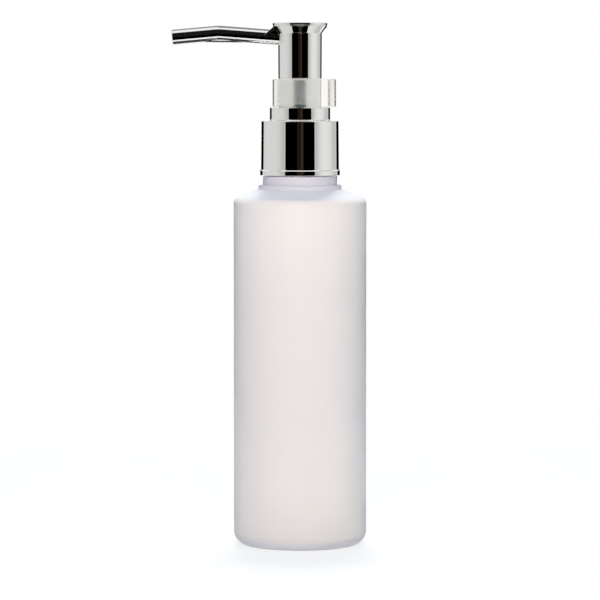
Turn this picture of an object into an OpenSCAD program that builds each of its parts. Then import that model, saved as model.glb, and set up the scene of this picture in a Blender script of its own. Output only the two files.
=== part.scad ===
// Cosmetic bottle with a screw-on lotion pump.
// Origin: centre of the base, on the bottle's axis. +Z is up, the spout points along -X.

/* [Bottle] */
// Outside diameter of the body
body_d = 48; // [44:1:70]
// Height of the straight side, up to the shoulder's corner
side_h = 123.7; // [112:1:200]
// Radius of the heel between the side and the base
heel_r = 5; // [2:0.5:7]
// Radius of the shoulder's outer corner
shoulder_r = 2.5; // [2:0.5:5]
// Slope of the shoulder above level, in degrees
shoulder_slope = 22; // [12:1:35]
// Wall of the body
body_wall = 1.1; // [0.8:0.1:1.5]
// Height of the push-up in the middle of the base
push_up_h = 1.8; // [1:0.1:3]
// Width of the flat ring that the base stands on
stand_ring_w = 3; // [1.5:0.5:5]

/* [Neck] */
// How far the bead at the foot of the neck stands out from the step above it
bead_out = 1.6; // [1:0.1:3]
// Height of the bead
bead_h = 1.55; // [1:0.05:3]
// How far the step above the bead stands out from the threaded finish
neck_step_out = 2.6; // [2:0.1:3]
// Height of the step above the bead
neck_step_h = 3.05; // [2.5:0.05:5]
// Wall of the threaded finish at the roots of its thread
finish_wall = 1.6; // [1.2:0.1:2]
// Height of the threaded finish
finish_h = 16; // [12:0.5:18]
// Bore through the finish
neck_bore_d = 18.4; // [18:0.1:18.8]
// Wall of the neck behind the step
neck_wall = 1.5; // [1.2:0.1:2]

/* [Closure] */
// How far the rolled lip stands out from the bottom of the shell
lip_out = 0.3; // [0.2:0.05:0.8]
// Height of the rolled lip
lip_h = 1.8; // [1:0.1:3]
// How much wider the shell's radius is just above the lip than at its top
collar_taper = 0.25; // [0:0.05:0.6]
// Radius of the corner at the top of the shell
collar_r = 0.6; // [0.3:0.1:1]
// Width of the ledge round the raised step on the shell
ledge_w = 2.95; // [2.4:0.05:3.4]
// Height of the raised step
cap_step_h = 4.74; // [4:0.02:6]
// Radius of the corner at the top of the raised step
cap_step_r = 0.5; // [0.3:0.1:0.8]
// Wall of the metal shell
shell_wall = 0.45; // [0.35:0.05:0.6]
// Room for the screw thread between the finish and the cap
thread_room = 1.3; // [1:0.05:1.6]
// Wall of the cap at its top
cap_wall = 1.25; // [0.9:0.05:1.8]
// Thickness of the cap's web over the neck
web_h = 1.2; // [0.8:0.1:1.6]

/* [Pump housing] */
// Thickness of the gasket on the mouth
gasket_h = 1; // [0.6:0.1:1.5]
// Thickness of the flange that is clamped on the mouth
flange_h = 1.4; // [1:0.1:1.8]
// Gap between the cup of the housing and the neck's bore
cup_gap = 0.3; // [0.2:0.05:0.4]
// Wall of the cup
cup_wall = 0.9; // [0.7:0.05:0.9]
// Bore of the metering chamber
barrel_bore_d = 11.8; // [11.6:0.1:12.4]
// Wall of the metering chamber
barrel_wall = 1; // [0.8:0.05:1.2]
// Travel of the pump head
stroke = 9.6; // [6:0.1:12]

/* [Inlet valve and dip tube] */
// Diameter of the inlet ball
ball_d = 4.8; // [4.6:0.1:5.2]
// Height that the ball lifts off its seat
ball_lift = 1.2; // [0.8:0.1:1.6]
// Outside diameter of the dip tube
dip_d = 5.8; // [5.4:0.1:6]
// Wall of the dip tube
dip_wall = 0.65; // [0.5:0.05:0.9]
// Depth of the socket that holds the dip tube
dip_socket_l = 9; // [6:0.5:12]
// Least gap between the dip tube and the floor of the bottle
dip_floor_gap = 1.8; // [1.5:0.1:4]
// Angle of the cut at the foot of the dip tube, in degrees
dip_cut = 35; // [15:5:45]

/* [Stem, piston and spring] */
// Outside diameter of the stem
stem_d = 6; // [5.8:0.1:6.2]
// Bore of the stem
stem_bore_d = 3.8; // [3.4:0.1:4]
// Length of the thin stalk that carries the piston
stalk_l = 5.8; // [5.4:0.1:6.2]
// Free travel of the piston along the stalk
piston_travel = 1; // [0.6:0.1:1.2]
// Diameter of the spring's wire
wire_d = 0.8; // [0.6:0.05:0.9]
// Mean diameter of the return spring
coil_d = 6.8; // [6.6:0.1:7.2]
// Number of curls in the return spring
coils = 9; // [7:1:10]

/* [Head] */
// Gap left between the head and the closure when the head is pressed down
head_gap = 0.85; // [0.6:0.05:3]
// Wall of the head's shell at its lower edge
head_wall = 0.7; // [0.6:0.05:1]
// How much wider the head's radius is at the flare than at its lower edge
head_taper = 0.075; // [0:0.025:0.3]
// Height of the head up to the flare
head_side_h = 16.65; // [16:0.05:20]
// How far the rim stands out from the foot of the flare
rim_out = 1.975; // [1.5:0.025:3]
// Height of the flare
flare_h = 2.35; // [2:0.05:3]
// Height of the rim
rim_h = 1.3; // [1:0.05:2]
// Diameter of the satin sleeve under the head
sleeve_d = 15.2; // [15:0.1:15.3]
// Wall of the satin sleeve
sleeve_wall = 0.5; // [0.4:0.05:0.6]

/* [Spout] */
// Outside diameter of the spout
spout_d = 5.5; // [5:0.1:5.6]
// Bore of the spout
spout_bore_d = 3.4; // [2.4:0.1:4]
// Depth of the spout's axis under the top of the head, measured on the bottle's axis
spout_depth = 6.15; // [5.9:0.05:7]
// Reach from the bottle's axis to the bend
bend_reach = 29.2; // [22:0.1:40]
// Length of the spout past the bend
tip_l = 17; // [8:0.5:30]
// Rise of the spout before the bend, in degrees
spout_up = 4.4; // [3:0.1:5]
// Fall of the spout past the bend, in degrees
spout_down = 5.1; // [3:0.1:20]
// Radius of the bend
bend_r = 30; // [12:1:40]
// Reach of the web that braces the spout, from the bottle's axis
brace_reach = 13.54; // [12.5:0.02:15]

/* [Clip] */
// Gap between the clip's bore and the head, at the front of the clip
clip_gap = 0.225; // [0.2:0.025:1]
// Wall of the clip
clip_wall = 1.8; // [1.5:0.05:1.8]
// Distance that the clip sits off the bottle's axis
clip_off = 1.55; // [0.5:0.05:1.55]
// Length of the clip's straight arms
clip_arm_l = 6; // [3:0.5:9]

/* [Hidden] */
$fn = 96;

// clearances
snug = 0.05;      // between two pieces that are pushed together
running = 0.05;   // where one piece slides or turns in another
loose = 0.3;      // where two pieces pass without touching
overrun = 1;      // how far a cut runs past the face that it opens
arc_steps = 8;    // straight steps in one rounded corner

// small sizes of the bottle
bead_edge = 0.5;        // rounding of the bead and of the step
mouth_edge = 0.4;       // bevel round the mouth
throat_gap = 1.3;       // plain bore left above the step before it widens
// small sizes of the closure
lip_gap = 0.3;          // between the lip and the neck's step
lip_edge = 0.35;        // rounding on top of the lip
cap_rise = 0.3;         // the cap ends this much above the lip
// small sizes of the housing
collar_h = 0.8;         // flange of the stem retainer
snap_h = 0.5;           // bead in the cup that holds the retainer
snap_in = 0.3;          // how far that bead stands in
catch_h = 0.9;          // bead on the upstand that holds the closure
catch_out = 0.4;        // how far that bead stands out
vent_d = 1;             // hole that lets air back into the bottle
vent_drop = 1.6;        // from the retainer down to that hole
// small sizes of the inlet valve
cage_gap = 0.6;         // round the ball
nip = 0.2;              // how far the lip over the ball stands in from it
ball_lip_h = 0.8;       // thickness of that lip
port_share = 2 / 3;     // port under the ball, as a share of the ball's diameter
seat_l = 1;             // plain port between the seat and the dip tube
socket_wall = 1.35;     // wall of the dip tube's socket
socket_taper = 5;       // height of the cone between barrel and socket
// small sizes of the stem retainer, the stem and the piston
skirt_l = 5.2;          // part of the retainer that plugs into the chamber
land_h = 1.4;           // each of the two bearings of the stem
guide_drop = 1.9;       // from the closure's top down to the retainer's top
guide_wall = 1.1;       // wall of the retainer's collar
skirt_wall = 0.95;      // wall of the retainer's skirt
stop_gap = 0.3;         // between the stem's stop and the retainer
stop_h = 2.1;           // height of the stem's stop
stop_out = 0.6;         // how far the stop stands out from the stem
stalk_in = 0.4;         // how much thinner the stalk is than the stem
window_d = 1.6;         // windows that let the product into the stem
pin_l = 1.4;            // pin of the plug inside the stem
plug_h = 1.4;           // flange of the plug
plug_d = 8;             // diameter of that flange
plug_bevel = 0.6;       // cone on top of that flange
nub_l = 1.7;            // nub of the plug inside the spring
nub_gap = 0.4;          // between the nub and the spring
spring_spare = 2;       // gap left in the spring at full travel
hub_gap = 0.1;          // between the stalk and the piston's hub
hub_wall = 0.8;
piston_skirt = 0.45;    // wall of the piston's skirt
piston_flare = 0.4;     // how far its lips stand out from the skirt
piston_over = 0.3;      // how far the upper lip stands over the hub
piston_under = 0.6;     // how far the lower lip hangs under the hub
piston_lip_h = 0.6;     // height of a lip's land
piston_flare_h = 0.9;   // height of a lip's slope
piston_web_z = 1.5;     // from the hub's foot up to its web
piston_web_h = 1;
// small sizes of the head
sleeve_dip = 0.85;      // how far the sleeve reaches into the closure at rest
core_rise = 0.3;        // the core ends this much above the sleeve's foot
core_wall = 0.75;
core_rib = 0.9;         // ribs between the core's skirt and its socket
socket_out = 1;         // wall of the stem's socket
head_cap_h = 2.8;       // top of the head over its hollow
rim_edge = 0.45;        // rounding of the rim
stem_depth = 5.05;      // from the spout's axis down to the stem's end
spout_floor = 1.6;      // core under the spout
spout_inset = 0.6;      // from the stem's bore to the spout's inner end
tip_edge = 0.2;         // bevel at the spout's end
brace_cover = 0.25;     // how far the brace stands out at each side of the spout
brace_in = 6.5;         // root of the brace, inside the head's wall
// small sizes of the clip
clip_seat = 0.15;       // under the clip
clip_play = 0.2;        // between the clip and the head

// points along an arc, for profiles
function arc(centre, r, from, to) = [for (i = [0:arc_steps])
    let (a = from + (to - from) * i / arc_steps)
    [centre[0] + r * cos(a), centre[1] + r * sin(a)]];

module turned(profile) { rotate_extrude() polygon(profile); }

// a plain ring between two heights
module ring(r_in, r_out, low, high) {
    turned([[r_in, low], [r_out, low], [r_out, high], [r_in, high]]);
}

// radii of the neck and the closure, from the neck's bore outwards
neck_bore_r = neck_bore_d / 2;
finish_r = neck_bore_r + finish_wall;
neck_r = finish_r + neck_step_out;
bead_r = neck_r + bead_out;
cap_bore_r = finish_r + thread_room;
collar_top_r = cap_bore_r + cap_wall + snug + shell_wall;
collar_low_r = collar_top_r + collar_taper;
lip_r = collar_low_r + lip_out;
step_r = collar_top_r - ledge_w;

// levels of the bottle, from the base up
body_r = body_d / 2;
corner_x = body_r - shoulder_r;
corner_end = [corner_x + shoulder_r * sin(shoulder_slope), side_h + shoulder_r * cos(shoulder_slope)];
bead_z = corner_end[1] + (corner_end[0] - bead_r) * tan(shoulder_slope);
bead_top = bead_z + bead_h;
step_top = bead_top + neck_step_h;
mouth_z = step_top + finish_h;
floor_z = push_up_h + body_wall;

// levels of the closure
flange_z = mouth_z + gasket_h;
seat_z = flange_z + flange_h;
web_z = seat_z + running;
web_top = web_z + web_h;
ledge_z = web_top + shell_wall;
closure_top = ledge_z + cap_step_h;
lip_z = step_top + lip_gap;
lip_top = lip_z + lip_h;

// levels of the head
head_z = closure_top + stroke + head_gap;
flare_z = head_z + head_side_h;
rim_z = flare_z + flare_h;
head_top = rim_z + rim_h;
sleeve_low = closure_top - sleeve_dip;
core_low = sleeve_low + core_rise;
core_top = head_top - head_cap_h - snug;
spout_z = head_top - spout_depth;
stem_top = spout_z - stem_depth;

// radii of the pump, from the sleeve inwards and outwards
sleeve_r = sleeve_d / 2;
core_r = sleeve_r - sleeve_wall - snug;
core_in_r = core_r - core_wall;
guide_r = core_in_r - loose;
stem_r = stem_d / 2;
stem_bore_r = stem_bore_d / 2;
stalk_r = stem_r - stalk_in;
socket_r = stem_r + snug + socket_out;
cup_r = neck_bore_r - cup_gap;
cup_in_r = cup_r - cup_wall;
flange_r = cap_bore_r - loose - 4 * snug;
web_bore_r = cup_r + 2 * running;
barrel_bore_r = barrel_bore_d / 2;
barrel_r = barrel_bore_r + barrel_wall;
dip_r = dip_d / 2;
ball_r = ball_d / 2;
head_low_r = core_r + snug + head_wall;
head_top_r = head_low_r + head_taper;
rim_r = head_top_r + rim_out;

// levels of the housing: the sleeve's lowest place sets the floor of the cup
cup_floor = sleeve_low - stroke - loose - snap_h - collar_h;
guide_low = cup_floor - skirt_l;
guide_top = closure_top - guide_drop;
stop_top = guide_low - stop_gap;
stalk_top = stop_top - stop_h;
stem_low = stalk_top - stalk_l;
plug_low = stem_low - plug_h;
spring_l = stroke + (coils + 1) * wire_d + spring_spare;
chamber_z = plug_low - spring_l;

// levels of the inlet valve: the ball rests on a cone of 45 degrees
lip_in_r = ball_r - nip;
cage_r = ball_r + cage_gap;
port_r = ball_r * port_share;
ball_lip_z = chamber_z - ball_lip_h;
ball_z = ball_lip_z - running - sqrt(ball_r * ball_r - lip_in_r * lip_in_r) - ball_lift;
port_z = ball_z - running - ball_r * sqrt(2) + port_r;
dip_top = port_z - seat_l;
dip_socket_z = dip_top - dip_socket_l;
dip_foot = floor_z + dip_floor_gap;
dip_socket_r = dip_r + snug + socket_wall;

module bottle() {
    ring_in = body_r - heel_r - stand_ring_w;
    dome_r = (ring_in * ring_in + push_up_h * push_up_h) / (2 * push_up_h);
    dome = [0, push_up_h - dome_r];
    heel = [body_r - heel_r, heel_r];
    corner = [corner_x, side_h];
    throat_r = neck_r - neck_wall;
    throat_z = step_top + throat_gap;
    in_corner_r = shoulder_r - body_wall;
    in_corner = [corner_x + in_corner_r * sin(shoulder_slope), side_h + in_corner_r * cos(shoulder_slope)];
    outside = concat(
        arc(dome, dome_r, 90, 90 - asin(ring_in / dome_r)),
        arc(heel, heel_r, -90, 0),
        arc(corner, shoulder_r, 0, 90 - shoulder_slope),
        [[bead_r, bead_z]],
        arc([bead_r - bead_edge, bead_top - bead_edge], bead_edge, 0, 90),
        [[neck_r, bead_top]],
        arc([neck_r - bead_edge, step_top - bead_edge], bead_edge, 0, 90),
        [[finish_r, step_top], [finish_r, mouth_z - mouth_edge], [finish_r - mouth_edge, mouth_z]]);
    inside = concat(
        [[neck_bore_r, mouth_z], [neck_bore_r, throat_z],
         [throat_r, throat_z - (throat_r - neck_bore_r)],
         [throat_r, in_corner[1] + (in_corner[0] - throat_r) * tan(shoulder_slope)]],
        arc(corner, in_corner_r, 90 - shoulder_slope, 0),
        arc(heel, heel_r - body_wall, 0, -90),
        arc(dome, dome_r + body_wall, 90 - asin(ring_in / (dome_r + body_wall)), 90));
    color("whitesmoke") turned(concat(outside, inside));
}

module gasket() {
    color("white") ring(web_bore_r, flange_r - 2 * snug, mouth_z, flange_z);
}

module pump_housing() {
    catch_z = web_top + loose;
    snap_z = cup_floor + collar_h;
    taper_z = dip_top + socket_taper;
    color("ghostwhite") difference() {
        turned([
            [dip_r + snug, dip_socket_z], [dip_socket_r, dip_socket_z],
            [dip_socket_r, dip_top], [barrel_r, taper_z],
            [barrel_r, cup_floor - barrel_wall], [cup_r, cup_floor - barrel_wall],
            [cup_r, flange_z], [flange_r, flange_z], [flange_r, seat_z], [cup_r, seat_z],
            [cup_r, catch_z], [cup_r + catch_out, catch_z], [cup_r, catch_z + catch_h],
            [cup_in_r, catch_z + catch_h], [cup_in_r, snap_z + snap_h],
            [cup_in_r - snap_in, snap_z + snap_h / 2], [cup_in_r, snap_z],
            [cup_in_r, cup_floor], [barrel_bore_r, cup_floor], [barrel_bore_r, chamber_z],
            [lip_in_r, chamber_z], [lip_in_r, ball_lip_z], [cage_r, ball_lip_z],
            [cage_r, port_z + cage_r - port_r], [port_r, port_z], [port_r, dip_top],
            [dip_r + snug, dip_top]]);
        translate([0, 0, guide_low - vent_drop]) rotate([0, 90, 0])
            cylinder(d = vent_d, h = barrel_r + overrun);
    }
}

module stem_retainer() {
    bearing_r = stem_r + running;
    guide_in = guide_r - guide_wall;
    skirt_in = barrel_bore_r - snug - skirt_wall;
    color("white") turned([
        [bearing_r, guide_low], [barrel_bore_r - snug, guide_low], [barrel_bore_r - snug, cup_floor],
        [cup_in_r - snug, cup_floor], [cup_in_r - snug, cup_floor + collar_h],
        [guide_r, cup_floor + collar_h], [guide_r, guide_top], [bearing_r, guide_top],
        [bearing_r, guide_top - land_h], [guide_in, guide_top - land_h], [guide_in, cup_floor + collar_h],
        [skirt_in, cup_floor], [skirt_in, guide_low + land_h], [bearing_r, guide_low + land_h]]);
}

module dip_tube() {
    color("snow") difference() {
        ring(dip_r - dip_wall, dip_r, dip_foot, dip_top);
        translate([-dip_r, 0, dip_foot]) rotate([0, -dip_cut, 0])
            translate([-overrun, -dip_d, -dip_d]) cube([3 * dip_d, 2 * dip_d, dip_d]);
    }
}

module inlet_ball() {
    color("silver") translate([0, 0, ball_z]) sphere(r = ball_r);
}

// the spring is one tube along a helix, whose first and last curls lie closer together
coil_r = coil_d / 2;
wire_r = wire_d / 2;
curl_rings = 8;
wire_sides = 6;
close_share = 0.35;     // how much closer the end curls lie than the mean
rings = coils * curl_rings;
spring_z = chamber_z + wire_r + snug;
spring_rise = spring_l - wire_d - 2 * snug;

function coil_point(t) = [coil_r * cos(360 * coils * t), coil_r * sin(360 * coils * t),
    spring_z + spring_rise * (t - close_share * sin(360 * t) / (2 * PI))];
function lead(t) = atan(spring_rise * (1 - close_share * cos(360 * t)) / (2 * PI * coil_r * coils));
function wire_ring(t) = let (a = 360 * coils * t, c = coil_point(t), s = lead(t)) [
    for (k = [0:wire_sides - 1]) let (
        out = wire_r * cos(360 * k / wire_sides),
        up = wire_r * sin(360 * k / wire_sides))
    c + out * [cos(a), sin(a), 0] + up * [sin(a) * sin(s), -cos(a) * sin(s), cos(s)]];

centre_line = [for (i = [0:rings]) coil_point(i / rings)];
self_gaps = [for (i = [0:rings - curl_rings / 2], j = [i + curl_rings / 2:rings])
    norm(centre_line[i] - centre_line[j]) - wire_d];
echo(least_gap_of_the_spring_to_itself = min(self_gaps));  // return_spring

module return_spring() {
    points = [for (i = [0:rings]) each wire_ring(i / rings)];
    side_faces = [for (i = [0:rings - 1], k = [0:wire_sides - 1])
        let (a = i * wire_sides + k, b = i * wire_sides + (k + 1) % wire_sides)
        each [[a, a + wire_sides, b], [b, a + wire_sides, b + wire_sides]]];
    last = rings * wire_sides;
    end_faces = [for (k = [1:wire_sides - 2]) each [[0, k, k + 1], [last, last + k + 1, last + k]]];
    color("lightsteelblue") polyhedron(points, concat(side_faces, end_faces));
}

module piston_seal() {
    foot = stem_low + running;
    top = foot + stalk_l - piston_travel - 2 * running;
    hub_r = stalk_r + hub_gap;
    hub_out = hub_r + hub_wall;
    lip_r = barrel_bore_r - running;
    skirt_r = lip_r - piston_flare;
    skirt_in = skirt_r - piston_skirt;
    low = foot - piston_under;
    high = top + piston_over;
    web_low = foot + piston_web_z;
    web_high = web_low + piston_web_h;
    color("white") turned([
        [hub_r, foot], [hub_out, foot], [hub_out, web_low], [skirt_in, web_low],
        [lip_r - piston_skirt, low], [lip_r, low], [lip_r, low + piston_lip_h],
        [skirt_r, low + piston_lip_h + piston_flare_h],
        [skirt_r, high - piston_lip_h - piston_flare_h], [lip_r, high - piston_lip_h],
        [lip_r, high], [lip_r - piston_skirt, high], [skirt_in, web_high],
        [hub_out, web_high], [hub_out, top], [hub_r, top]]);
}

module stem() {
    window_z = stem_low + pin_l + window_d / 2;
    color("white") difference() {
        turned([
            [stem_bore_r, stem_low], [stalk_r, stem_low], [stalk_r, stalk_top],
            [stem_r + stop_out, stalk_top], [stem_r + stop_out, stop_top], [stem_r, stop_top],
            [stem_r, stem_top], [stem_bore_r, stem_top]]);
        for (turn = [0, 90])
            translate([0, 0, window_z]) rotate([0, 90, turn])
                cylinder(d = window_d, h = stem_d, center = true);
    }
}

module stem_plug() {
    nub_r = coil_r - wire_r - nub_gap;
    plug_r = plug_d / 2;
    color("white") turned([
        [0, plug_low - nub_l], [nub_r, plug_low - nub_l], [nub_r, plug_low], [plug_r, plug_low],
        [plug_r, stem_low - plug_bevel], [plug_r - plug_bevel, stem_low],
        [stem_bore_r - snug, stem_low], [stem_bore_r - snug, stem_low + pin_l], [0, stem_low + pin_l]]);
}

// inside radius of the shell's tapered side at a height
function collar_in(z) = collar_low_r - shell_wall - collar_taper * (z - lip_top) / (ledge_z - lip_top);

module closure_cap() {
    cap_low = lip_z + cap_rise;
    color("white") turned([
        [cap_bore_r, cap_low], [collar_in(lip_top) - snug, cap_low], [collar_in(lip_top) - snug, lip_top],
        [collar_in(web_top) - snug, web_top], [web_bore_r, web_top], [web_bore_r, web_z],
        [cap_bore_r, web_z]]);
}

module closure_shell() {
    hole_r = sleeve_r + loose;
    color("silver") turned(concat(
        [[collar_in(lip_top), lip_z], [lip_r, lip_z]],
        arc([lip_r - lip_edge, lip_top - lip_edge], lip_edge, 0, 90),
        [[collar_low_r, lip_top]],
        arc([collar_top_r - collar_r, ledge_z - collar_r], collar_r, 0, 90),
        [[step_r, ledge_z]],
        arc([step_r - cap_step_r, closure_top - cap_step_r], cap_step_r, 0, 90),
        [[hole_r, closure_top], [hole_r, closure_top - shell_wall],
         [step_r - shell_wall, closure_top - shell_wall], [step_r - shell_wall, web_top],
         [collar_in(web_top), web_top], [collar_in(lip_top), lip_top]]));
}

// the spout's axis rises to a bend and falls past it
dir_up = [-cos(spout_up), 0, sin(spout_up)];
leg_from = stem_bore_r + spout_inset;
leg_end = bend_reach / cos(spout_up) - bend_r * tan((spout_up + spout_down) / 2);
bend_centre = [0, 0, spout_z] + leg_end * dir_up - bend_r * [sin(spout_up), 0, cos(spout_up)];
bend_steps = 8;
spout_sides = 32;

// a round rod along the spout's first leg, between two distances from the bottle's axis
module first_leg(r, from, to) {
    translate([0, 0, spout_z] + from * dir_up) rotate([0, spout_up - 90, 0]) cylinder(r = r, h = to - from);
}

// a point of the spout's axis where it slopes by this angle, then a way further along it
function bend_point(slope, way = 0) = bend_centre + bend_r * [sin(slope), 0, cos(slope)]
    + way * [-cos(slope), 0, sin(slope)];
function spout_ring(centre, slope, r) = [for (k = [0:spout_sides - 1])
    let (a = 360 * k / spout_sides)
    centre + r * cos(a) * [sin(slope), 0, cos(slope)] + [0, r * sin(a), 0]];

module spout_tube() {
    out_r = spout_d / 2;
    in_r = spout_bore_d / 2;
    last_l = tip_l - bend_r * tan((spout_up + spout_down) / 2);
    slopes = [for (i = [0:bend_steps]) spout_up - (spout_up + spout_down) * i / bend_steps];
    root = [0, 0, spout_z] + leg_from * dir_up;
    tip = bend_point(-spout_down, last_l);
    rings = concat(
        [spout_ring(root, spout_up, out_r)],
        [for (a = slopes) spout_ring(bend_point(a), a, out_r)],
        [spout_ring(bend_point(-spout_down, last_l - tip_edge), -spout_down, out_r),
         spout_ring(tip, -spout_down, out_r - tip_edge),
         spout_ring(tip, -spout_down, in_r)],
        [for (i = [bend_steps:-1:0]) spout_ring(bend_point(slopes[i]), slopes[i], in_r)],
        [spout_ring(root, spout_up, in_r)]);
    count = len(rings);
    faces = [for (i = [0:count - 1], k = [0:spout_sides - 1])
        let (near = i * spout_sides, far = (i + 1) % count * spout_sides, k2 = (k + 1) % spout_sides)
        each [[near + k, near + k2, far + k], [near + k2, far + k2, far + k]]];
    color("silver") polyhedron([for (r = rings) each r], faces);
}

module head_core() {
    block_z = spout_z - spout_d / 2 - spout_floor;
    socket_z = guide_top + stroke + 2 * loose;
    bore_end = spout_z + spout_bore_d / 2;
    seat_r = stem_r + snug;
    color("white") difference() {
        union() {
            turned([
                [core_in_r, core_low], [core_r, core_low], [core_r, core_top], [0, core_top],
                [0, bore_end], [stem_bore_r, bore_end], [stem_bore_r, stem_top], [seat_r, stem_top],
                [seat_r, socket_z], [socket_r, socket_z], [socket_r, block_z], [core_in_r, block_z]]);
            for (turn = [45:90:315]) rotate([0, 0, turn])
                translate([socket_r - snug, -core_rib / 2, socket_z + overrun])
                    cube([core_in_r - socket_r + 2 * snug, core_rib, block_z - socket_z]);
        }
        first_leg(spout_d / 2 + snug, leg_from, sleeve_d);
        first_leg(spout_bore_d / 2, 0, leg_from + overrun);
    }
}

module head_shell() {
    axis_h = function (x) spout_z + x * tan(spout_up);
    brace_top = rim_z + rim_edge;
    color("silver") difference() {
        union() {
            turned(concat(
                [[0, head_z], [head_low_r, head_z], [head_top_r, flare_z], [rim_r, rim_z]],
                arc([rim_r - rim_edge, head_top - rim_edge], rim_edge, 0, 90),
                [[0, head_top]]));
            rotate([90, 0, 0])
                linear_extrude(spout_d + 2 * brace_cover, center = true)
                    polygon([[-brace_in, axis_h(brace_in)], [-brace_reach, axis_h(brace_reach)],
                             [-rim_r + rim_edge, rim_z], [-rim_r + 2 * rim_edge, brace_top],
                             [-brace_in, brace_top]]);
        }
        translate([0, 0, head_z - overrun])
            cylinder(r = core_r + snug, h = head_top - head_cap_h - head_z + overrun);
        first_leg(spout_d / 2 + snug, 0, brace_reach + overrun);
    }
}

module stem_sleeve() {
    color("lightgray") ring(core_r + snug, sleeve_r, sleeve_low, head_z);
}

module clip_lock() {
    clip_in = head_top_r + clip_off + clip_gap;
    clip_r = clip_in + clip_wall;
    clip_d = 2 * clip_r;
    clip_z = closure_top + clip_seat;
    color("white", 0.5) translate([clip_off, 0, clip_z])
        linear_extrude(head_z - clip_play - clip_z) difference() {
            union() {
                circle(clip_r);
                translate([-clip_r, 0]) square([clip_d, clip_arm_l]);
            }
            circle(clip_in);
            translate([-clip_in, 0]) square([2 * clip_in, clip_d]);
            translate([-clip_d, clip_arm_l]) square([2 * clip_d, clip_d]);
        }
}

bottle();
gasket();
pump_housing();
stem_retainer();
dip_tube();
inlet_ball();
return_spring();
piston_seal();
stem();
stem_plug();
closure_cap();
closure_shell();
head_core();
head_shell();
stem_sleeve();
spout_tube();
clip_lock();
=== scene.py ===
# %% [markdown]
# # A frosted bottle with a chromed lotion pump
#
# This lesson dresses a finished construction model with surfaces and finishes that stand up to a close look. The
# construction model gives every size. Blender gives what light does on it: frosted plastic that glows, chrome that
# mirrors a studio, satin metal and clear plastic. All lengths below are in millimetres, and one value turns them
# into metres on the way into a mesh.

import bpy
import numpy as np
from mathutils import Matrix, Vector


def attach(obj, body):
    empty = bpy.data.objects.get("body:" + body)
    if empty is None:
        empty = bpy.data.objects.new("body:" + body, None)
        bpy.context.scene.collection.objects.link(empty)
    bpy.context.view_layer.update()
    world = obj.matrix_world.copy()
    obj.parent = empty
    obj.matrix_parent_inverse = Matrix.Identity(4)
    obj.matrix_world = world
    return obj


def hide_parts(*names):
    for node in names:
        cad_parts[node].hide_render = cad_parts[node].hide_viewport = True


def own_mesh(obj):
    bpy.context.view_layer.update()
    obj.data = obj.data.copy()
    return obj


MM = 0.001
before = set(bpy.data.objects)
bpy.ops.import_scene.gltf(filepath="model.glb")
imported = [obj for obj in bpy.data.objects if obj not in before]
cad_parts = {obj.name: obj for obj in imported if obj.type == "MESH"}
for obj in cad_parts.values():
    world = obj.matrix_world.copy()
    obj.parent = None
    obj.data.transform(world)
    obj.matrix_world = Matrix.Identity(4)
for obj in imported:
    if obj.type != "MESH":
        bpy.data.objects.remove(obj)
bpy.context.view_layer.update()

# %% [markdown]
# ## Camera
#
# The bottle is seen from slightly above with a long lens, so its sides look parallel. A short lens closer by could
# show it as large, but it would spread the base and shrink the pump. The place and the tilt come from where the
# base, the shoulder and the closure lie in the picture.

# %% Camera
CAMERA_PLACE = (0.0, -1.230285, 0.17026)
CAMERA_TILT = 3.786
LENS = 204

camera = bpy.data.objects.new("camera", bpy.data.cameras.new("camera"))
bpy.context.scene.collection.objects.link(camera)
camera.location = CAMERA_PLACE
camera.rotation_euler = (np.radians(90 - CAMERA_TILT), 0, 0)
camera.data.lens = LENS
bpy.context.scene.camera = camera
print("camera", round(-CAMERA_PLACE[1], 2), "m in front, tilted", CAMERA_TILT, "degrees down")

# %% [markdown]
# ## Outlines
#
# Nearly every part here is turned or swept, so it starts as a flat outline. An outline could be drawn point by
# point, but real edges are never sharp, and chrome shows a missing radius at once. So an outline is given as a few
# corners with a radius each, and the function works out the arcs. Just past each arc it sets one more point, which
# keeps the straight part's shading flat.


# %% Arcs and rounded corners
def arc(centre, radius, start, end, steps=16):
    """Points of a circle: centre + radius * (cos a, sin a), for evenly spaced angles a in degrees."""
    a = np.radians(np.linspace(start, end, steps + 1))
    return np.array(centre) + radius * np.stack([np.cos(a), np.sin(a)], axis=1)


def rounded(corners, closed=True, steps=8, hold=0.12):
    """Rounds each corner (r, z, fillet) with an arc that touches both of its sides.
    With h half the corner's angle, the arc starts fillet / tan(h) from the corner, and its centre lies
    fillet / sin(h) from it on the line that halves the angle. An open outline keeps its two ends as they are."""
    corners = np.array(corners, float)
    p, fillet = corners[:, :2], np.maximum(corners[:, 2:], 0.02)
    to_last, to_next = np.roll(p, 1, axis=0) - p, np.roll(p, -1, axis=0) - p
    long_last, long_next = (np.linalg.norm(v, axis=1, keepdims=True) for v in (to_last, to_next))
    to_last, to_next = to_last / long_last, to_next / long_next
    half = np.arccos(np.clip((to_last * to_next).sum(1, keepdims=True), -1, 1)) / 2
    reach = fillet / np.tan(half)
    middle = to_last + to_next
    centre = p + middle / np.linalg.norm(middle, axis=1, keepdims=True) * fillet / np.sin(half)
    begin, end = p + to_last * reach - centre, p + to_next * reach - centre
    turn = np.pi - 2 * half
    t = np.linspace(0, 1, steps + 1)[None, :, None]
    turn = turn[:, :, None]
    arcs = (np.sin((1 - t) * turn) * begin[:, None] + np.sin(t * turn) * end[:, None]) / np.sin(turn)
    arcs = arcs + centre[:, None]
    before = p + to_last * (reach + hold * np.minimum(1, long_last / 4))
    after = p + to_next * (reach + hold * np.minimum(1, long_next / 4))
    rows = np.concatenate([before[:, None], arcs, after[:, None]], axis=1)
    if closed:
        return rows.reshape(-1, 2)
    return np.concatenate([p[:1], rows[1:-1].reshape(-1, 2), p[-1:]])


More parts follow.
